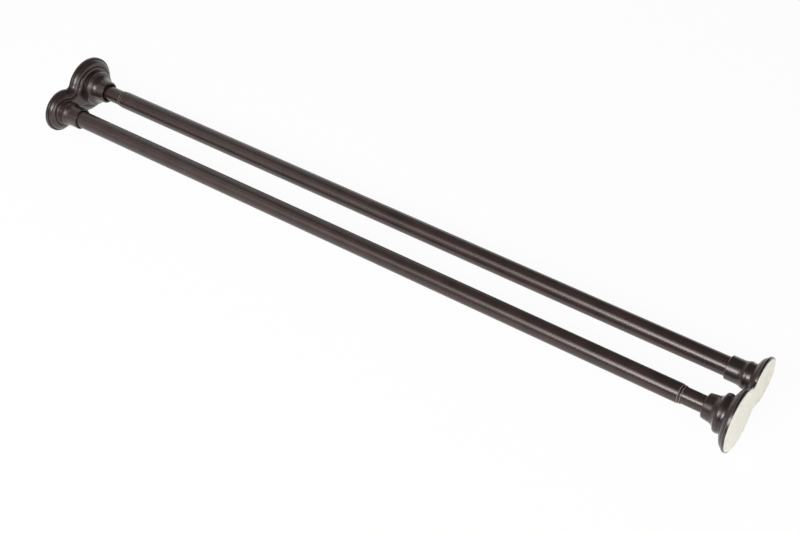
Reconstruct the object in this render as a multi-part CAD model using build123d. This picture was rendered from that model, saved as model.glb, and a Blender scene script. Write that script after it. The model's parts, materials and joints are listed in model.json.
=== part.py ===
from build123d import *
import math
import os

# Double tension rod, millimetres.
# x runs from the left wall face to the right one, y to the rear rod, z up.
# The origin is on the left wall face, midway between the two rod axes.

# Whole rod
wall_span = 1118.0          # wall to wall, nearly closed
rod_spacing = 62.5          # between the rod axes

# Fits
running_gap = 0.3           # between pieces that turn or slide on each other
press_gap = 0.05            # between pieces pressed or screwed together

# Tubes
outer_tube_d = 25.4
inner_tube_d = 22.2
tube_wall = 0.8
closing_room = 46.7         # between a lock and the end plug that it would meet on closing
bare_inner_len = 28.8       # inner tube seen between the bell lip and the mouth

# Flange outline: two lobes joined by a rounded waist
big_lobe_r = 42.4
small_lobe_r = 32.3
waist_fillet_r = 7.0

# Flange base, from the edge in: upright rim, ovolo and bead, with a groove behind the rim and the ovolo
rim_foot = 0.8              # the rim stands this far off the wall, on the pad
rim_side = 3.0
rim_bevel = 1.1
rim_width = 1.7
groove_width = 0.7
groove_depth = 0.8
ovolo_width = 8.3
ovolo_rise = 7.3
ovolo_bulge = 2.2
bead_width = 3.4
bead_rise = 3.4
bead_bulge = 1.2

# Cups, from the base up: plain foot, rounded shoulder, concave flare, tapered neck, bevelled lip
lip_bevel = 0.9
mouth_bore_d = 27.6         # clear bore round the tube at the lip
mouth_depth = 12.0
cup_floor_height = 8.0      # underside of the cup floor above the wall
cup_floor = 3.0
bell_foot_d = 49.6          # the bell takes the inner tube
bell_foot_rise = 3.0
bell_shoulder_d = 51.6
bell_shoulder_rise = 7.6
bell_flare_rise = 9.4
bell_flare_sag = 1.7
bell_neck_d = 35.2
bell_lip_d = 32.4
bell_lip_height = 44.2      # above the wall
collar_foot_d = 35.0        # the collar takes the outer tube
collar_foot_rise = 4.4
collar_shoulder_d = 36.2
collar_shoulder_rise = 5.2
collar_flare_rise = 6.4
collar_flare_sag = 0.35
collar_neck_d = 31.6
collar_lip_d = 31.4
collar_lip_height = 46.0

# Hollow back of the flange
shell_wall = 2.4
socket_wall = 2.2
rib_width = 2.0
rib_count = 4

# Pad
pad_inset = 1.4             # dark rim seen round the pad
pad_thickness = 2.4
pad_edge_bevel = 0.4

# Screws and end plugs
screw_d = 5.0
screw_head_d = 9.6
screw_head_rise = 3.0
screw_head_bevel = 1.0
screw_len = 18.0
plug_len = 22.0

# Mouth bush
mouth_nose_len = 5.0        # part that stands out of the outer tube
mouth_nose_d = 24.0
mouth_sleeve_len = 25.0
mouth_step = 0.3            # the nose starts this much inside the tube's face
mouth_nose_bevel = 0.5

# Guide bush
guide_spigot_len = 20.0
guide_collar_len = 4.0

# Twist lock
stem_d = 6.0
stem_head_d = 16.0
stem_head_len = 4.0
spring_len = 70.0
spring_d = 15.0
spring_wire_d = 1.8
spring_wire_sides = 4
spring_turns = 5
lock_flange_len = 5.0
journal_d = 15.0
journal_len = 14.0
journal_offset = 1.0        # journal axis beside the rod axis
lock_ring_d = 22.6
lock_cap_len = 4.0

# Worked-out sizes
outer_r = outer_tube_d / 2
inner_r = inner_tube_d / 2
outer_bore_r = outer_r - tube_wall
inner_bore_r = inner_r - tube_wall
inner_rod_y = rod_spacing / 2
outer_rod_y = -rod_spacing / 2
rim_top = rim_foot + rim_side + rim_bevel
ovolo_foot = rim_top - groove_depth
ovolo_top = ovolo_foot + ovolo_rise
bead_foot = ovolo_top - groove_depth
plateau = bead_foot + bead_rise
ovolo_inset = rim_width + groove_width
bead_inset = ovolo_inset + ovolo_width + groove_width
plateau_inset = bead_inset + bead_width
cup_seat = cup_floor_height + cup_floor
mouth_height = bell_lip_height + bare_inner_len
outer_tube_start = cup_seat + running_gap
lock_len = lock_flange_len + journal_len + lock_cap_len
lock_end = wall_span - outer_tube_start - plug_len - closing_room
lock_start = lock_end - lock_len
inner_tube_end = lock_start - spring_len - guide_collar_len
outer_tube_end = wall_span - mouth_height - mouth_nose_len
socket_inner_r = inner_r + press_gap
socket_outer_r = outer_r + running_gap
journal_start = lock_start + lock_flange_len
lock_cap_start = journal_start + journal_len
sliding_r = outer_bore_r - running_gap
plug_head_top = cup_floor_height
swivel_head_top = cup_floor_height - running_gap


# Point on an arc between two points, pushed out to the left of the chord by the bulge.
def bulge_point(start, end, bulge):
    along_x = end[0] - start[0]
    along_y = end[1] - start[1]
    length = math.hypot(along_x, along_y)
    middle_x = (start[0] + end[0]) / 2 - bulge * along_y / length
    middle_y = (start[1] + end[1]) / 2 + bulge * along_x / length
    return (middle_x, middle_y)


# Solid turned about the x axis from edges given as (x, radius), then set at its rod axis.
def turned(edges, y=0.0, z=0.0):
    face = make_face(Plane.XZ * edges)
    return Pos(0, y, z) * revolve(face, Axis.X)


def ring(x_start, x_end, r_out, r_in=0.0, y=0.0):
    outline = Polyline((x_start, r_in), (x_start, r_out), (x_end, r_out), (x_end, r_in), close=True)
    return turned(outline, y)


# The moulded band from the rim's foot in to the plateau.
# radius_at turns an inset from the rim into a radius about the axis being turned on.
def band_edges(radius_at):
    def place(height, inset):
        return (height, radius_at(inset))

    ovolo_low = (ovolo_foot, ovolo_inset)
    ovolo_high = (ovolo_top, ovolo_inset + ovolo_width)
    ovolo_middle = bulge_point(ovolo_high, ovolo_low, ovolo_bulge)
    bead_low = (bead_foot, bead_inset)
    bead_high = (plateau, plateau_inset)
    bead_middle = bulge_point(bead_high, bead_low, bead_bulge)
    edges = Polyline(
        place(rim_foot, 0),
        place(rim_foot + rim_side, 0),
        place(rim_top, rim_bevel),
        place(rim_top, rim_width),
        place(*ovolo_low),
    )
    edges += ThreePointArc(place(*ovolo_low), place(*ovolo_middle), place(*ovolo_high))
    edges += Polyline(place(*ovolo_high), place(*bead_low), place(*bead_middle), place(*bead_high))
    return edges


# Straight slope from one (height, inset) to another, for the pad and the hollow back.
def slope_edges(radius_at, start, end):
    return Line((start[0], radius_at(start[1])), (end[0], radius_at(end[1])))


# Centre of the waist fillet on the upper side, tangent to both lobes.
def waist_centre():
    big_reach = big_lobe_r + waist_fillet_r
    small_reach = small_lobe_r + waist_fillet_r
    from_big = (rod_spacing**2 + big_reach**2 - small_reach**2) / (2 * rod_spacing)
    return inner_rod_y - from_big, math.sqrt(big_reach**2 - from_big**2)


# Figure-eight solid whose side follows the given edges all the way round the outline.
def figure_eight(side, low, high, low_inset, high_inset):
    def lobe(radius, y):
        def radius_at(inset):
            return radius - inset

        closing = Polyline((high, radius_at(high_inset)), (high, 0), (low, 0), (low, radius_at(low_inset)))
        return turned(side(radius_at) + closing, y)

    def waist_radius(inset):
        return waist_fillet_r + inset

    waist_y, waist_z = waist_centre()
    neck = Polyline((inner_rod_y, 0), (waist_y, waist_z), (outer_rod_y, 0), close=True)
    closing = Polyline((high, waist_radius(high_inset)), (high, 0), (low, 0), (low, waist_radius(low_inset)))
    waist = Pos(low, 0, 0) * extrude(make_face(Plane.YZ * neck), high - low)
    waist -= turned(side(waist_radius) + closing, waist_y, waist_z)
    waist += mirror(waist, Plane.XY)
    return lobe(big_lobe_r, inner_rod_y) + lobe(small_lobe_r, outer_rod_y) + waist


def straight_eight(low, high, low_inset, high_inset):
    def side(radius_at):
        return slope_edges(radius_at, (low, low_inset), (high, high_inset))

    return figure_eight(side, low, high, low_inset, high_inset)


# Solid cup from its outer profile, given as (height, radius) points from the foot up to the lip.
def turned_cup(notch, shoulder, shoulder_top, flare_sag, neck_foot, lip, y):
    lip_height, lip_r = lip
    lip_side = (lip_height - lip_bevel, lip_r)
    flare_middle = bulge_point(shoulder_top, neck_foot, -flare_sag)
    outline = Line((rim_top, notch[1]), notch)
    outline += ThreePointArc(notch, shoulder, shoulder_top)
    outline += ThreePointArc(shoulder_top, flare_middle, neck_foot)
    outline += Polyline(
        neck_foot,
        lip_side,
        (lip_height, lip_r - lip_bevel),
        (lip_height, 0),
        (rim_top, 0),
        (rim_top, notch[1]),
    )
    return turned(outline, y)


def bell_cup():
    notch_height = plateau + bell_foot_rise
    shoulder_top = notch_height + bell_shoulder_rise
    return turned_cup(
        (notch_height, bell_foot_d / 2),
        (notch_height + bell_shoulder_rise / 2, bell_shoulder_d / 2),
        (shoulder_top, bell_foot_d / 2),
        bell_flare_sag,
        (shoulder_top + bell_flare_rise, bell_neck_d / 2),
        (bell_lip_height, bell_lip_d / 2),
        inner_rod_y,
    )


def collar_cup():
    notch_height = plateau + collar_foot_rise
    shoulder_top = notch_height + collar_shoulder_rise
    return turned_cup(
        (notch_height, collar_foot_d / 2),
        (notch_height + collar_shoulder_rise / 2, collar_shoulder_d / 2),
        (shoulder_top, collar_foot_d / 2),
        collar_flare_sag,
        (shoulder_top + collar_flare_rise, collar_neck_d / 2),
        (collar_lip_height, collar_lip_d / 2),
        outer_rod_y,
    )


# Hollow of the flange behind the pad: a core under the base, a core inside the bell,
# with the two tube sockets and radial ribs left standing.
def flange_hollow():
    core_top = plateau - shell_wall
    core_inset = pad_inset + shell_wall
    hollow = straight_eight(pad_thickness, core_top, core_inset, plateau_inset)
    shoulder_height = plateau + bell_foot_rise + bell_shoulder_rise / 2
    core_r = bell_foot_d / 2 - shell_wall
    bell_top = bell_lip_height - mouth_depth - shell_wall
    bell_core = Polyline(
        (pad_thickness, 0),
        (pad_thickness, core_r),
        (shoulder_height, core_r),
        (bell_top, socket_inner_r + socket_wall),
        (bell_top, 0),
        close=True,
    )
    hollow += turned(bell_core, inner_rod_y)
    lobes = (
        (inner_rod_y, socket_inner_r, big_lobe_r),
        (outer_rod_y, socket_outer_r, small_lobe_r),
    )
    for y, socket_r, lobe_r in lobes:
        hollow -= ring(pad_thickness, bell_top, socket_r + socket_wall, 0, y)
        rib = Pos((pad_thickness + bell_top) / 2, lobe_r / 2, 0)
        rib *= Box(bell_top - pad_thickness, lobe_r, rib_width)
        for turn in range(rib_count):
            hollow -= Pos(0, y, 0) * Rot(turn * 360 / rib_count, 0, 0) * rib
    return hollow


# One wall flange, with its cup floors, screw holes and the recess for the pad.
def wall_flange():
    base = figure_eight(band_edges, rim_foot, plateau, 0, plateau_inset)
    flange = base + bell_cup() + collar_cup() - flange_hollow()
    flange -= straight_eight(0, pad_thickness, pad_inset - press_gap, pad_inset - press_gap)
    sockets = (
        (inner_rod_y, bell_lip_height, socket_inner_r, screw_d / 2 + press_gap),
        (outer_rod_y, collar_lip_height, socket_outer_r, screw_d / 2 + running_gap),
    )
    for y, lip_height, socket_r, hole_r in sockets:
        flange -= ring(lip_height - mouth_depth, lip_height, mouth_bore_d / 2, 0, y)
        flange -= ring(cup_seat, lip_height, socket_r, 0, y)
        flange -= ring(0, cup_floor_height, screw_head_d / 2 + running_gap, 0, y)
        flange -= ring(0, cup_seat, hole_r, 0, y)
    return flange


def wall_pad():
    pad = straight_eight(0, pad_thickness, pad_inset, pad_inset)
    wall_edges = pad.faces().sort_by(Axis.X)[0].edges()
    return chamfer(wall_edges, pad_edge_bevel)


# Pan-head screw up through a cup floor into the tube's end plug.
def cup_screw(head_top, y):
    screw = ring(head_top - screw_head_rise, head_top, screw_head_d / 2, 0, y)
    top_edge = screw.edges().filter_by(GeomType.CIRCLE).sort_by(Axis.X)[0]
    screw = chamfer(top_edge, screw_head_bevel)
    return screw + ring(head_top, head_top + screw_len, screw_d / 2, 0, y)


# Plug pressed into a tube end, with a blind hole for the screw that comes up from head_top.
def end_plug(start, radius, head_top, y):
    plug = ring(start, start + plug_len, radius - press_gap, 0, y)
    return plug - ring(start, head_top + screw_len + press_gap, screw_d / 2 + press_gap, 0, y)


def inner_tube():
    return ring(cup_seat, inner_tube_end, inner_r, inner_bore_r, inner_rod_y)


def outer_tube():
    return ring(outer_tube_start, outer_tube_end, outer_r, outer_bore_r, outer_rod_y)


# Bush at the outer tube's mouth: a sleeve inside the tube and a tapered nose outside.
def mouth_bush():
    bore_r = inner_r + running_gap
    sleeve_r = outer_bore_r - press_gap
    nose_end = outer_tube_end + mouth_nose_len
    nose_r = mouth_nose_d / 2
    outline = Polyline(
        (outer_tube_end - mouth_sleeve_len, bore_r),
        (outer_tube_end - mouth_sleeve_len, sleeve_r),
        (outer_tube_end, sleeve_r),
        (outer_tube_end, outer_r - mouth_step),
        (nose_end - mouth_nose_bevel, nose_r),
        (nose_end, nose_r - mouth_nose_bevel),
        (nose_end, bore_r),
        close=True,
    )
    return turned(outline, outer_rod_y)


# Bush in the inner end of the inner tube; its collar runs in the outer tube.
def guide_bush():
    spigot_start = inner_tube_end - guide_spigot_len
    collar_end = inner_tube_end + guide_collar_len
    bush = ring(spigot_start, inner_tube_end, inner_bore_r - press_gap, 0, inner_rod_y)
    bush += ring(inner_tube_end, collar_end, sliding_r, 0, inner_rod_y)
    return bush - ring(spigot_start, collar_end, stem_d / 2 + running_gap, 0, inner_rod_y)


# Steel stem with a head that stops behind the guide bush.
def lock_stem():
    head_front = inner_tube_end - guide_spigot_len - running_gap
    stem = ring(head_front - stem_head_len, head_front, stem_head_d / 2, 0, inner_rod_y)
    return stem + ring(head_front, lock_end, stem_d / 2, 0, inner_rod_y)


# Lock core: a spring seat and the eccentric journal.
def lock_core():
    core = ring(lock_start, journal_start, sliding_r, 0, inner_rod_y)
    core += ring(journal_start, lock_cap_start, journal_d / 2, 0, inner_rod_y + journal_offset)
    return core - ring(lock_start, lock_cap_start, stem_d / 2 + press_gap, 0, inner_rod_y)


# Ring on the journal; turning it pushes its outside off centre, against the outer tube.
def lock_ring():
    start = journal_start + running_gap
    end = lock_cap_start - running_gap
    bore_r = journal_d / 2 + running_gap
    return ring(start, end, lock_ring_d / 2, 0, inner_rod_y) - ring(
        start, end, bore_r, 0, inner_rod_y + journal_offset
    )


def lock_cap():
    return ring(lock_cap_start, lock_end, sliding_r, stem_d / 2 + press_gap, inner_rod_y)


# Compression spring round the stem, between the guide bush and the lock core.
def lock_spring():
    wire_r = spring_wire_d / 2
    start = inner_tube_end + guide_collar_len + wire_r
    coil_r = (spring_d - spring_wire_d) / 2
    rise = spring_len - spring_wire_d
    coil = Helix(rise / spring_turns, rise, coil_r, center=(0, 0, 0), direction=(0, 0, 1))
    section = Plane(origin=coil @ 0, z_dir=coil % 0) * RegularPolygon(wire_r, spring_wire_sides)
    spring = sweep(section, path=coil)
    return Pos(start, inner_rod_y, 0) * Rot(0, 90, 0) * spring


# Pieces of the left end: its flange and pad, the rear rod's inner tube and lock, the front rod's outer tube.
# The right end has the same pieces, turned half a turn about the middle of the rod.
pieces = {
    ("left_flange", "right_flange"): wall_flange(),
    ("left_pad", "right_pad"): wall_pad(),
    ("rear_inner_tube", "front_inner_tube"): inner_tube(),
    ("rear_inner_plug", "front_inner_plug"): end_plug(cup_seat, inner_bore_r, plug_head_top, inner_rod_y),
    ("rear_inner_screw", "front_inner_screw"): cup_screw(plug_head_top, inner_rod_y),
    ("rear_guide_bush", "front_guide_bush"): guide_bush(),
    ("rear_lock_stem", "front_lock_stem"): lock_stem(),
    ("rear_lock_core", "front_lock_core"): lock_core(),
    ("rear_lock_ring", "front_lock_ring"): lock_ring(),
    ("rear_lock_cap", "front_lock_cap"): lock_cap(),
    ("rear_lock_spring", "front_lock_spring"): lock_spring(),
    ("front_outer_tube", "rear_outer_tube"): outer_tube(),
    ("front_outer_plug", "rear_outer_plug"): end_plug(
        outer_tube_start, outer_bore_r, swivel_head_top, outer_rod_y
    ),
    ("front_swivel_screw", "rear_swivel_screw"): cup_screw(swivel_head_top, outer_rod_y),
    ("front_mouth_bush", "rear_mouth_bush"): mouth_bush(),
}

half_turn = Pos(wall_span, 0, 0) * Rot(0, 0, 180)

os.makedirs("parts", exist_ok=True)
for (left_name, right_name), solid in pieces.items():
    export_step(solid, f"parts/{left_name}.step")
    export_step(half_turn * solid, f"parts/{right_name}.step")
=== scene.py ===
import json
import math

import bmesh
import bpy
from mathutils import Matrix, Vector


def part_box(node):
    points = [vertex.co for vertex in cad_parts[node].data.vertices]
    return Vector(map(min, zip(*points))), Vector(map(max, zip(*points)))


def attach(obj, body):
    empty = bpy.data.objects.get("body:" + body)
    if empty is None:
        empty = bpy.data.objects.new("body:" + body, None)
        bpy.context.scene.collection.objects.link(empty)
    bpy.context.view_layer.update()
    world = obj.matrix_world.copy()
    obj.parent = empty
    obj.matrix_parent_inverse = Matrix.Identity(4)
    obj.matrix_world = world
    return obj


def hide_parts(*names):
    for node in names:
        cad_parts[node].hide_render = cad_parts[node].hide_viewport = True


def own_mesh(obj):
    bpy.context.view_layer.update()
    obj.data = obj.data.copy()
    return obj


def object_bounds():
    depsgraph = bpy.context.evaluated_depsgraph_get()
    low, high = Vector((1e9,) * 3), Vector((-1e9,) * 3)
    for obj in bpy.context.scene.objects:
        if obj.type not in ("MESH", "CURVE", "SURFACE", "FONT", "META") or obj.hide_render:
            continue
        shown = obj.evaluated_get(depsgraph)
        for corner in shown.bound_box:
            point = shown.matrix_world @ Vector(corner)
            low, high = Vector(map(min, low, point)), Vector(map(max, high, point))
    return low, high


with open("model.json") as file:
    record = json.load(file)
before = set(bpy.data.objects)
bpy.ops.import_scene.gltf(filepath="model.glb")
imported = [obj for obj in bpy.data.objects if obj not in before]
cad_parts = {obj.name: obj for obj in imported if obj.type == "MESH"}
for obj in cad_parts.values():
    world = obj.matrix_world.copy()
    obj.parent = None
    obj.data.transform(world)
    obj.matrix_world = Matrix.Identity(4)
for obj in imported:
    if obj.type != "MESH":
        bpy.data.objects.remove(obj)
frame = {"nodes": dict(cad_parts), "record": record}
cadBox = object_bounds()
print("frame loaded:", len(frame["nodes"]), "nodes")


# sRGB hex to the linear colour that the shaders take
def hexColour(text):
    parts = [int(text[i:i + 2], 16) / 255 for i in (1, 3, 5)]
    return [c / 12.92 if c <= 0.04045 else ((c + 0.055) / 1.055) ** 2.4 for c in parts] + [1.0]


# Adds one node: settings are ramp stops, sockets or properties by name, feeds are (socket, output) links
def addNode(tree, kind, settings, feeds=()):
    node = tree.nodes.new(kind)
    for name, value in settings.items():
        if name == "stops":
            for stop, (place, colour) in zip(node.color_ramp.elements, value):
                stop.position = place
                stop.color = hexColour(colour)
        elif name in node.inputs:
            node.inputs[name].default_value = value
        else:
            setattr(node, name, value)
    for socket, output in feeds:
        tree.links.new(output, node.inputs[socket])
    return node


def newMaterial(name):
    material = bpy.data.materials.new(name)
    material.use_nodes = True
    tree = material.node_tree
    tree.nodes.clear()
    place = addNode(tree, "ShaderNodeTexCoord", {}).outputs["Object"]
    return material, tree, place


# Soft patches of two tones; gives the value of the patches and their colour
def addMottle(tree, place, look):
    patches = addNode(tree, "ShaderNodeTexNoise",
                      {"Scale": 1 / look["mottle"], "Detail": look["detail"], "Roughness": look["breakUp"]},
                      [("Vector", place)])
    darkEnd, lightEnd = look["tones"]
    colour = addNode(tree, "ShaderNodeValToRGB",
                     {"stops": [(darkEnd, look["dark"]), (lightEnd, look["light"])]},
                     [("Fac", patches.outputs["Fac"])])
    return patches.outputs["Fac"], colour.outputs["Color"]


# Dark bronze lacquer on rolled steel tube: semi-gloss, warm black, a faint lengthwise drift in its gloss
bronzeTube = {
    "dark": "#291e1b", "light": "#382b27", "tones": (0.3, 0.7),
    "sheen": "#fff5f7", "ior": 1.58,
    "mottle": 0.030, "detail": 4.0, "breakUp": 0.5,
    "streakLength": 0.20, "streakWidth": 0.0030,
    "smooth": 0.25, "rough": 0.28,
}


def makeTubeLacquer():
    material, tree, place = newMaterial("bronzeLacquerOnRolledSteel")
    across = 1 / bronzeTube["streakWidth"]
    stretch = addNode(tree, "ShaderNodeMapping",
                      {"Scale": (1 / bronzeTube["streakLength"], across, across)},
                      [("Vector", place)])
    streak = addNode(tree, "ShaderNodeTexNoise", {"Scale": 1.0, "Detail": 2.0, "Roughness": 0.5},
                     [("Vector", stretch.outputs[0])])
    patches, colour = addMottle(tree, place, bronzeTube)
    gloss = addNode(tree, "ShaderNodeMapRange",
                    {"To Min": bronzeTube["smooth"], "To Max": bronzeTube["rough"]},
                    [("Value", streak.outputs["Fac"])])
    shader = addNode(tree, "ShaderNodeBsdfPrincipled",
                     {"IOR": bronzeTube["ior"], "Specular Tint": hexColour(bronzeTube["sheen"])},
                     [("Base Color", colour), ("Roughness", gloss.outputs[0])])
    addNode(tree, "ShaderNodeOutputMaterial", {}, [("Surface", shader.outputs[0])])
    return material


# Dark bronze paint and a satin clear coat on moulded plastic: soft wide highlights, fine orange peel
bronzeFlange = {
    "dark": "#221715", "light": "#30231f", "tones": (0.3, 0.7),
    "sheen": "#fff5f6", "ior": 1.55,
    "mottle": 0.018, "detail": 5.0, "breakUp": 0.5,
    "smooth": 0.27, "rough": 0.30,
    "clearCoat": 0.35, "clearRough": 0.32,
    "peel": 0.0030, "bump": 0.000006, "bumpStrength": 0.3,
}


def makeFlangeCoat():
    material, tree, place = newMaterial("bronzeCoatOnMouldedPlastic")
    patches, colour = addMottle(tree, place, bronzeFlange)
    peel = addNode(tree, "ShaderNodeTexNoise", {"Scale": 1 / bronzeFlange["peel"], "Detail": 1.0},
                   [("Vector", place)])
    gloss = addNode(tree, "ShaderNodeMapRange",
                    {"To Min": bronzeFlange["smooth"], "To Max": bronzeFlange["rough"]},
                    [("Value", patches)])
    bump = addNode(tree, "ShaderNodeBump",
                   {"Strength": bronzeFlange["bumpStrength"], "Distance": bronzeFlange["bump"]},
                   [("Height", peel.outputs["Fac"])])
    shader = addNode(tree, "ShaderNodeBsdfPrincipled",
                     {"IOR": bronzeFlange["ior"], "Specular Tint": hexColour(bronzeFlange["sheen"]),
                      "Coat Weight": bronzeFlange["clearCoat"],
                      "Coat Roughness": bronzeFlange["clearRough"]},
                     [("Base Color", colour), ("Roughness", gloss.outputs[0]),
                      ("Normal", bump.outputs[0])])
    addNode(tree, "ShaderNodeOutputMaterial", {}, [("Surface", shader.outputs[0])])
    return material


# Cream closed-cell foam rubber: matt, finely pebbled so that it grips the wall, uneven in tone
creamRubber = {
    "dark": "#dedbce", "light": "#ebe9df", "tones": (0.3, 0.7),
    "mottle": 0.010, "detail": 6.0, "breakUp": 0.65,
    "roughness": 0.75, "ior": 1.45,
    "pebble": 0.0016, "bump": 0.0001, "bumpStrength": 0.3,
}


def makePadRubber():
    material, tree, place = newMaterial("creamFoamRubber")
    patches, colour = addMottle(tree, place, creamRubber)
    pebble = addNode(tree, "ShaderNodeTexVoronoi", {"Scale": 1 / creamRubber["pebble"]},
                     [("Vector", place)])
    bump = addNode(tree, "ShaderNodeBump",
                   {"Strength": creamRubber["bumpStrength"], "Distance": creamRubber["bump"],
                    "invert": True},
                   [("Height", pebble.outputs["Distance"])])
    shader = addNode(tree, "ShaderNodeBsdfPrincipled",
                     {"Roughness": creamRubber["roughness"], "IOR": creamRubber["ior"]},
                     [("Base Color", colour), ("Normal", bump.outputs[0])])
    addNode(tree, "ShaderNodeOutputMaterial", {}, [("Surface", shader.outputs[0])])
    return material


# Brown-black nylon of the mouth bush: moulded and waxy, its two lips painted pale and bright as a painted
# highlight
brownNylon = {
    "dark": "#2b2320", "light": "#3a302d", "tones": (0.3, 0.7), "paintedLipHighlight": "#746c68",
    "mottle": 0.004, "detail": 4.0, "breakUp": 0.5,
    "roughness": 0.30, "ior": 1.53,
}


def makeBushNylon():
    material, tree, place = newMaterial("brownMouldedNylon")
    patches, colour = addMottle(tree, place, brownNylon)
    # the marked lip faces take a pale colour: a painted highlight, not wear
    lips = addNode(tree, "ShaderNodeAttribute", {"attribute_name": "paintedHighlightLip"})
    lipHighlightTone = addNode(tree, "ShaderNodeMixRGB", {"Color2": hexColour(brownNylon["paintedLipHighlight"])},
                   [("Fac", lips.outputs["Fac"]), ("Color1", colour)])
    shader = addNode(tree, "ShaderNodeBsdfPrincipled",
                     {"Roughness": brownNylon["roughness"], "IOR": brownNylon["ior"]},
                     [("Base Color", lipHighlightTone.outputs[0])])
    addNode(tree, "ShaderNodeOutputMaterial", {}, [("Surface", shader.outputs[0])])
    return material


# Zinc-plated steel of the screws, stems and springs: bright metal with cloudy plating
zincSteel = {
    "dark": "#9b9a98", "light": "#c3c2be", "tones": (0.35, 0.65),
    "mottle": 0.004, "detail": 4.0, "breakUp": 0.5,
    "smooth": 0.25, "rough": 0.42,
}


def makeZincSteel():
    material, tree, place = newMaterial("zincPlatedSteel")
    patches, colour = addMottle(tree, place, zincSteel)
    gloss = addNode(tree, "ShaderNodeMapRange",
                    {"To Min": zincSteel["smooth"], "To Max": zincSteel["rough"]},
                    [("Value", patches)])
    shader = addNode(tree, "ShaderNodeBsdfPrincipled", {"Metallic": 1.0},
                     [("Base Color", colour), ("Roughness", gloss.outputs[0])])
    addNode(tree, "ShaderNodeOutputMaterial", {}, [("Surface", shader.outputs[0])])
    return material


# Black nylon of the plugs, guide bushes and locks: moulded, dull, fine spark-eroded grain
blackNylon = {
    "dark": "#161616", "light": "#242424", "tones": (0.3, 0.7),
    "mottle": 0.0012, "detail": 3.0, "breakUp": 0.5,
    "roughness": 0.5, "ior": 1.53,
    "bump": 0.00004, "bumpStrength": 0.4,
}


def makeBlackNylon():
    material, tree, place = newMaterial("blackMouldedNylon")
    grain, colour = addMottle(tree, place, blackNylon)
    bump = addNode(tree, "ShaderNodeBump",
                   {"Strength": blackNylon["bumpStrength"], "Distance": blackNylon["bump"]},
                   [("Height", grain)])
    shader = addNode(tree, "ShaderNodeBsdfPrincipled",
                     {"Roughness": blackNylon["roughness"], "IOR": blackNylon["ior"]},
                     [("Base Color", colour), ("Normal", bump.outputs[0])])
    addNode(tree, "ShaderNodeOutputMaterial", {}, [("Surface", shader.outputs[0])])
    return material


finishes = {
    "bronze_tube": makeTubeLacquer(),
    "bronze_flange": makeFlangeCoat(),
    "cream_pad": makePadRubber(),
    "grey_bush": makeBushNylon(),
    "bright_steel": makeZincSteel(),
    "black_nylon": makeBlackNylon(),
}
for subpart in frame["record"]["subparts"]:
    node = frame["nodes"][subpart["node"]]
    node.data.materials.clear()
    node.data.materials.append(finishes[subpart["material_slot"]])

sameSpot = 0.00001  # points nearer than this are one point


def rodY(node):
    low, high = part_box(node)
    return (low[1] + high[1]) / 2


def roundRadius(node):
    low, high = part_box(node)
    return (high[2] - low[2]) / 2


# Turns a finished mesh into a piece at the origin, in place of its CAD node
def placePiece(bm, name, node, body, slot):
    mesh = bpy.data.meshes.new(name)
    bm.to_mesh(mesh)
    bm.free()
    mesh.materials.append(finishes[slot])
    piece = bpy.data.objects.new(name, mesh)
    bpy.context.scene.collection.objects.link(piece)
    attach(piece, body)
    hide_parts(node)
    return piece


# Mouth bushes: a thin sleeve in the outer tube and a nose with two round lips and a groove between them
mouthBush = {
    "boreRoom": 0.0003, "tubeWall": 0.0008, "pressRoom": 0.00005,
    "backLip": 0.0124, "frontLip": 0.0120, "lipWidth": 0.0012,
    "groove": 0.0118, "ringClear": 0.0001, "highlightClear": 0.00005,
    "lipRound": 0.0003, "roundSteps": 3, "turnSteps": 96,
}


# outward is 1 where the mouth faces the right wall and -1 where it faces the left one
def addMouthBush(node, body, outerTube, innerTube, outward):
    low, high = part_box(node)
    tubeLow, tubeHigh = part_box(outerTube)
    if outward > 0:
        sleeveEnd, tubeEnd, noseEnd = low[0], tubeHigh[0], high[0]
    else:
        sleeveEnd, tubeEnd, noseEnd = high[0], tubeLow[0], low[0]
    nose = abs(noseEnd - tubeEnd)
    sleeve = abs(tubeEnd - sleeveEnd)
    bore = roundRadius(innerTube) + mouthBush["boreRoom"]
    sleeveRadius = roundRadius(outerTube) - mouthBush["tubeWall"] - mouthBush["pressRoom"]
    backLip, frontLip, groove = (mouthBush[k] for k in ("backLip", "frontLip", "groove"))
    width = mouthBush["lipWidth"]
    corners = [
        (-sleeve, bore), (-sleeve, sleeveRadius), (0, sleeveRadius),
        (0, backLip), (width, backLip), (width, groove),
        (nose - width, groove), (nose - width, frontLip), (nose, frontLip),
        (nose, bore),
    ]
    bm = bmesh.new()
    y = rodY(outerTube)
    verts = [bm.verts.new((tubeEnd + outward * along, y, radius)) for along, radius in corners]
    for i in range(len(verts)):
        bm.edges.new((verts[i - 1], verts[i]))
    bmesh.ops.spin(bm, geom=bm.verts[:] + bm.edges[:], cent=(0, y, 0), axis=(1, 0, 0), angle=math.tau,
                   steps=mouthBush["turnSteps"], use_merge=True)
    bmesh.ops.remove_doubles(bm, verts=bm.verts, dist=sameSpot)
    bmesh.ops.recalc_face_normals(bm, faces=bm.faces)
    # round the four rings at the corners of the lips
    lipRings = []
    for edge in bm.edges:
        along = [outward * (vert.co.x - tubeEnd) for vert in edge.verts]
        radii = [math.hypot(vert.co.y - y, vert.co.z) for vert in edge.verts]
        level = abs(along[0] - along[1]) < sameSpot
        if level and along[0] > -sameSpot and min(radii) > groove + mouthBush["ringClear"]:
            lipRings.append(edge)
    bmesh.ops.bevel(bm, geom=lipRings, offset=mouthBush["lipRound"], segments=mouthBush["roundSteps"],
                    profile=0.5, affect="EDGES", material=-1)
    # marks the faces of the two outer lips for the pale painted highlight
    paintedLipHighlight = bm.faces.layers.float.new("paintedHighlightLip")
    for face in bm.faces:
        middle = face.calc_center_median()
        clear = math.hypot(middle.y - y, middle.z) > groove + mouthBush["highlightClear"]
        face[paintedLipHighlight] = 1.0 if clear and outward * (middle.x - tubeEnd) > 0 else 0.0
        face.smooth = True
    placePiece(bm, node + "Turned", node, body, "grey_bush")


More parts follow.
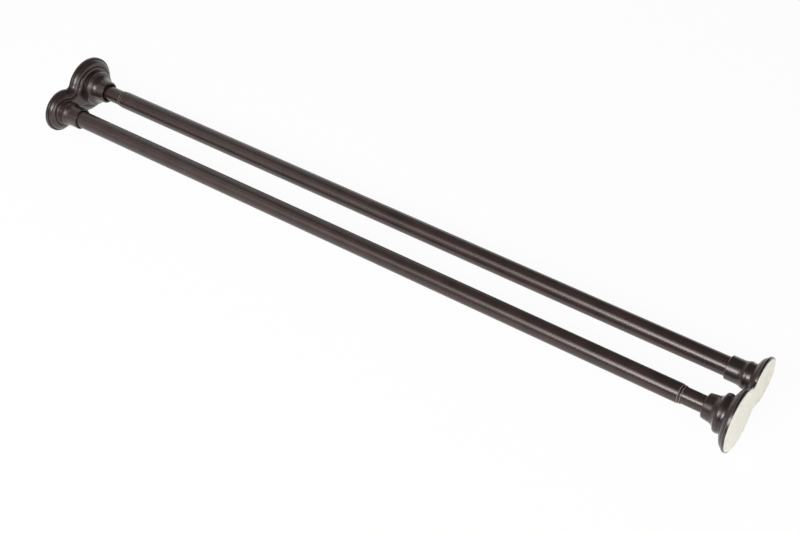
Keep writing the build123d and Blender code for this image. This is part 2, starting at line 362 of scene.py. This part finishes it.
addMouthBush("front_mouth_bush", "front_outer", "front_outer_tube", "front_inner_tube", 1)
addMouthBush("rear_mouth_bush", "rear_outer", "rear_outer_tube", "rear_inner_tube", -1)
print("mouth bushes: 2")

# Lock springs: round wire with a closed coil at each end, wound to the length of the spring's CAD node
lockSpring = {
    "wire": 0.0018, "openTurns": 5, "closedTurns": 1, "closedPitch": 0.00185,
    "endRoom": 0.0001, "travel": 0.025, "turnSteps": 28, "wireSides": 10,
}


def addLockSpring(node, body):
    low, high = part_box(node)
    y = rodY(node)
    wireRadius = lockSpring["wire"] / 2
    coilRadius = roundRadius(node) - wireRadius
    length = high[0] - low[0]
    closedRise = lockSpring["closedTurns"] * lockSpring["closedPitch"]
    openRise = length - 2 * (lockSpring["endRoom"] + wireRadius + closedRise)
    closedCoil = (lockSpring["closedTurns"], closedRise)
    openCoil = (lockSpring["openTurns"], openRise)
    bm = bmesh.new()
    start = Matrix.Translation((low[0] + lockSpring["endRoom"] + wireRadius, y, coilRadius))
    bmesh.ops.create_circle(bm, cap_ends=True, segments=lockSpring["wireSides"], radius=wireRadius,
                            matrix=start @ Matrix.Rotation(math.pi / 2, 4, "X"))
    tip = bm.verts[:] + bm.edges[:] + bm.faces[:]
    for turns, rise in (closedCoil, openCoil, closedCoil):
        steps = turns * lockSpring["turnSteps"]
        tip = bmesh.ops.spin(bm, geom=tip, cent=(0, y, 0), axis=(1, 0, 0), dvec=(rise / steps, 0, 0),
                             angle=math.tau * turns, steps=steps)["geom_last"]
    bmesh.ops.recalc_face_normals(bm, faces=bm.faces)
    for face in bm.faces:
        face.smooth = len(face.verts) == 4
    piece = placePiece(bm, node + "Wound", node, body, "bright_steel")
    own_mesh(piece)


addLockSpring("rear_lock_spring", "rear_lock")
addLockSpring("front_lock_spring", "front_lock")
print("lock springs: 2")

# Wall pads: a figure-eight sheet of foam rubber, two lobes joined by hollow waists, soft at the wall edge
pad = {"edge": 0.0006, "edgeSteps": 4, "waistRadius": 0.0084, "turnSteps": 96}


# Spins one vertex into an arc in the wall plane; angles run from +Y towards +Z
def spinArc(bm, centreY, centreZ, radius, start, sweep):
    first = bm.verts.new((0, centreY + radius * math.cos(start), centreZ + radius * math.sin(start)))
    steps = max(2, round(pad["turnSteps"] * abs(sweep) / math.tau))
    bmesh.ops.spin(bm, geom=[first], cent=(0, centreY, centreZ), axis=(1, 0, 0), angle=sweep,
                   steps=steps)


def addPad(node, body, bigTube, smallTube, turn, wallX):
    low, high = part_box(node)
    spacing = abs(rodY(bigTube) - rodY(smallTube))
    bigRadius = roundRadius(node)
    smallRadius = high[1] - low[1] - spacing - bigRadius
    # the waist arcs touch both lobes from outside
    bigReach = bigRadius + pad["waistRadius"]
    smallReach = smallRadius + pad["waistRadius"]
    fromBig = (spacing ** 2 + bigReach ** 2 - smallReach ** 2) / (2 * spacing)
    waistY = spacing / 2 - fromBig
    waistZ = math.sqrt(bigReach ** 2 - fromBig ** 2)
    bigTurn = math.atan2(waistZ, fromBig)
    smallTurn = math.atan2(waistZ, spacing - fromBig)
    waistTurn = bigTurn + smallTurn - math.pi
    bm = bmesh.new()
    spinArc(bm, spacing / 2, 0, bigRadius, bigTurn - math.pi, 2 * (math.pi - bigTurn))
    spinArc(bm, waistY, waistZ, pad["waistRadius"], -bigTurn, waistTurn)
    spinArc(bm, -spacing / 2, 0, smallRadius, smallTurn, 2 * (math.pi - smallTurn))
    spinArc(bm, waistY, -waistZ, pad["waistRadius"], math.pi - smallTurn, waistTurn)
    bmesh.ops.remove_doubles(bm, verts=bm.verts, dist=sameSpot)
    bmesh.ops.edgeloop_fill(bm, edges=bm.edges)
    raised = bmesh.ops.extrude_face_region(bm, geom=bm.faces[:])["geom"]
    raised = [item for item in raised if isinstance(item, bmesh.types.BMVert)]
    bmesh.ops.translate(bm, verts=raised, vec=(high[0] - low[0], 0, 0))
    bmesh.ops.recalc_face_normals(bm, faces=bm.faces)
    wallEdges = [edge for edge in bm.edges if all(abs(vert.co.x) < sameSpot for vert in edge.verts)]
    bmesh.ops.bevel(bm, geom=wallEdges, offset=pad["edge"], segments=pad["edgeSteps"], profile=0.5,
                    affect="EDGES", material=-1)
    for face in bm.faces:
        face.smooth = len(face.verts) == 4
    # the right pad is the left one turned half round
    bmesh.ops.rotate(bm, verts=bm.verts, cent=(0, 0, 0), matrix=Matrix.Rotation(turn, 3, "Z"))
    bmesh.ops.translate(bm, verts=bm.verts, vec=(wallX, 0, 0))
    piece = placePiece(bm, node + "Foam", node, body, "cream_pad")


addPad("left_pad", "left_end", "rear_inner_tube", "front_outer_tube", 0, cadBox[0][0])
addPad("right_pad", "right_end", "front_inner_tube", "rear_outer_tube", math.pi, cadBox[1][0])
print("pads: 2")


# Tells the rays that look at the background: straight from the camera, and by a reflection or a clear piece
def addLookRays(tree):
    ray = addNode(tree, "ShaderNodeLightPath", {})
    mirrored = addNode(tree, "ShaderNodeMath", {"operation": "MAXIMUM"},
                       [(0, ray.outputs["Is Glossy Ray"]), (1, ray.outputs["Is Transmission Ray"])])
    return ray.outputs["Is Camera Ray"], mirrored.outputs[0]


# White paper under the rod; the camera and the reflections see it white, with a trace of shadow
floor = {
    "size": 32.0, "drop": 0.0003, "shadow": 0.05,
    "dark": "#f2f2f1", "light": "#f6f6f5", "tones": (0.2, 0.8),
    "mottle": 0.011, "detail": 4.0, "breakUp": 0.5,
}


def makePaper():
    material, tree, place = newMaterial("whiteStudioPaper")
    fibre, tone = addMottle(tree, place, floor)
    paper = addNode(tree, "ShaderNodeBsdfDiffuse", {}, [("Color", tone)])
    glow = addNode(tree, "ShaderNodeEmission", {"Strength": 1.0})
    direct, mirrored = addLookRays(tree)
    seen = addNode(tree, "ShaderNodeMath", {"operation": "MAXIMUM"}, [(0, mirrored), (1, direct)])
    share = addNode(tree, "ShaderNodeMapRange", {"To Max": 1 - floor["shadow"]},
                    [("Value", seen.outputs[0])])
    mix = addNode(tree, "ShaderNodeMixShader", {},
                  [(0, share.outputs[0]), (1, paper.outputs[0]), (2, glow.outputs[0])])
    addNode(tree, "ShaderNodeOutputMaterial", {}, [("Surface", mix.outputs[0])])
    return material


def addFloor():
    mesh = bpy.data.meshes.new("floor")
    bm = bmesh.new()
    bmesh.ops.create_grid(bm, x_segments=1, y_segments=1, size=floor["size"] / 2)
    middleX = (cadBox[0][0] + cadBox[1][0]) / 2
    bmesh.ops.translate(bm, verts=bm.verts, vec=(middleX, 0, cadBox[0][2] - floor["drop"]))
    bm.to_mesh(mesh)
    bm.free()
    mesh.materials.append(makePaper())
    plane = bpy.data.objects.new("floor", mesh)
    bpy.context.scene.collection.objects.link(plane)


addFloor()

# Softboxes: the key and its tail draw the line that fades along the tubes to the left, the top box and
# the low fade soften it, one by the camera and one on the left light the flanges, a low one on the right
# lights the pad, and two dim screens behind give the far sides an edge
lamps = {
    "keyBox": {"at": (0.70, -1.46, 1.34), "aim": (0.63, 0, 0), "size": (0.76, 0.66), "radiance": 13.2},
    "keyTail": {"at": (-0.14, -1.42, 1.38), "aim": (0.14, 0, 0), "size": (0.80, 0.66), "radiance": 1.6},
    "topBox": {"at": (0.30, -1.00, 1.55), "aim": (0, 0, 0), "size": (0.70, 0.70), "radiance": 3.4},
    "lowFade": {"at": (-0.35, -0.85, 0.56), "aim": (-0.35, 0, 0), "size": (1.00, 0.84), "radiance": 0.9},
    "cameraBox": {"at": (1.70, -1.30, 1.50), "aim": (0.50, 0, 0), "size": (0.90, 0.90), "radiance": 4.0},
    "rightBox": {"at": (2.45, -0.55, 0.30), "aim": (0.90, 0, 0), "size": (1.20, 0.50), "radiance": 6.8},
    "leftBox": {"at": (-0.45, -0.25, 1.05), "aim": (0, 0, 0), "size": (0.60, 0.60), "radiance": 0.8},
    "backScreen": {"at": (-0.95, 0.92, 1.09), "aim": (-0.10, 0, 0), "size": (1.50, 1.10), "radiance": 0.6},
    "lowScreen": {"at": (-1.15, 1.80, 0.38), "aim": (0, 0, 0), "size": (2.10, 0.75), "radiance": 0.95},
}


def addLamp(name, lamp):
    width, height = lamp["size"]
    data = bpy.data.lights.new(name, "AREA")
    data.shape = "RECTANGLE"
    data.size = width
    data.size_y = height
    data.energy = lamp["radiance"] * math.pi * width * height
    box = bpy.data.objects.new(name, data)
    at = Vector(lamp["at"])
    box.location = at
    box.rotation_euler = (Vector(lamp["aim"]) - at).to_track_quat("-Z", "Y").to_euler()
    box.visible_camera = False
    bpy.context.scene.collection.objects.link(box)


for name, lamp in lamps.items():
    addLamp(name, lamp)
print("lamps:", ", ".join(lamps))

# Dim room with a white background: the camera sees it all round, reflections see it near the floor.
# The tops are heights of a direction, from 0 at the horizon to 1 overhead
room = {"colour": "#ffffff", "strength": 0.12, "whiteTop": 0.03, "fadeTop": 0.09}


def makeRoom():
    world = bpy.data.worlds.new("dimRoom")
    world.use_nodes = True
    tree = world.node_tree
    tree.nodes.clear()
    direction = addNode(tree, "ShaderNodeTexCoord", {}).outputs["Generated"]
    split = addNode(tree, "ShaderNodeSeparateXYZ", {}, [("Vector", direction)])
    near = addNode(tree, "ShaderNodeMapRange",
                   {"From Min": room["fadeTop"], "From Max": room["whiteTop"]},
                   [("Value", split.outputs["Z"])])
    direct, mirrored = addLookRays(tree)
    nearMirrored = addNode(tree, "ShaderNodeMath", {"operation": "MULTIPLY"},
                           [(0, mirrored), (1, near.outputs[0])])
    seen = addNode(tree, "ShaderNodeMath", {"operation": "MAXIMUM"},
                   [(0, nearMirrored.outputs[0]), (1, direct)])
    level = addNode(tree, "ShaderNodeMapRange", {"To Min": room["strength"], "To Max": 1.0},
                    [("Value", seen.outputs[0])])
    light = addNode(tree, "ShaderNodeBackground", {"Color": hexColour(room["colour"])},
                    [("Strength", level.outputs[0])])
    addNode(tree, "ShaderNodeOutputWorld", {}, [("Surface", light.outputs[0])])
    bpy.context.scene.world = world


makeRoom()

# Camera solved from the tube edges, flange outlines, pad edges and cup lips in the picture
shot = {
    "at": (1.4698, -0.9223, 1.4628),
    "azimuth": 43.36, "elevation": 50.12, "roll": -11.26,
    "focalPixels": 1443.2, "widthPixels": 800,
}


def addCamera():
    azimuth, elevation, roll = (math.radians(shot[k]) for k in ("azimuth", "elevation", "roll"))
    flat = math.cos(elevation)
    forward = Vector((-math.sin(azimuth) * flat, math.cos(azimuth) * flat, -math.sin(elevation)))
    level = Vector((math.cos(azimuth), math.sin(azimuth), 0))
    upright = level.cross(forward)
    right = level * math.cos(roll) + upright * math.sin(roll)
    up = upright * math.cos(roll) - level * math.sin(roll)
    data = bpy.data.cameras.new("shot")
    data.sensor_fit = "HORIZONTAL"
    data.lens = data.sensor_width * shot["focalPixels"] / shot["widthPixels"]
    camera = bpy.data.objects.new("shot", data)
    turn = Matrix((right, up, -forward)).transposed().to_4x4()
    camera.matrix_world = Matrix.Translation(shot["at"]) @ turn
    bpy.context.scene.collection.objects.link(camera)
    bpy.context.scene.camera = camera


addCamera()
bpy.context.scene.view_settings.view_transform = "Standard"
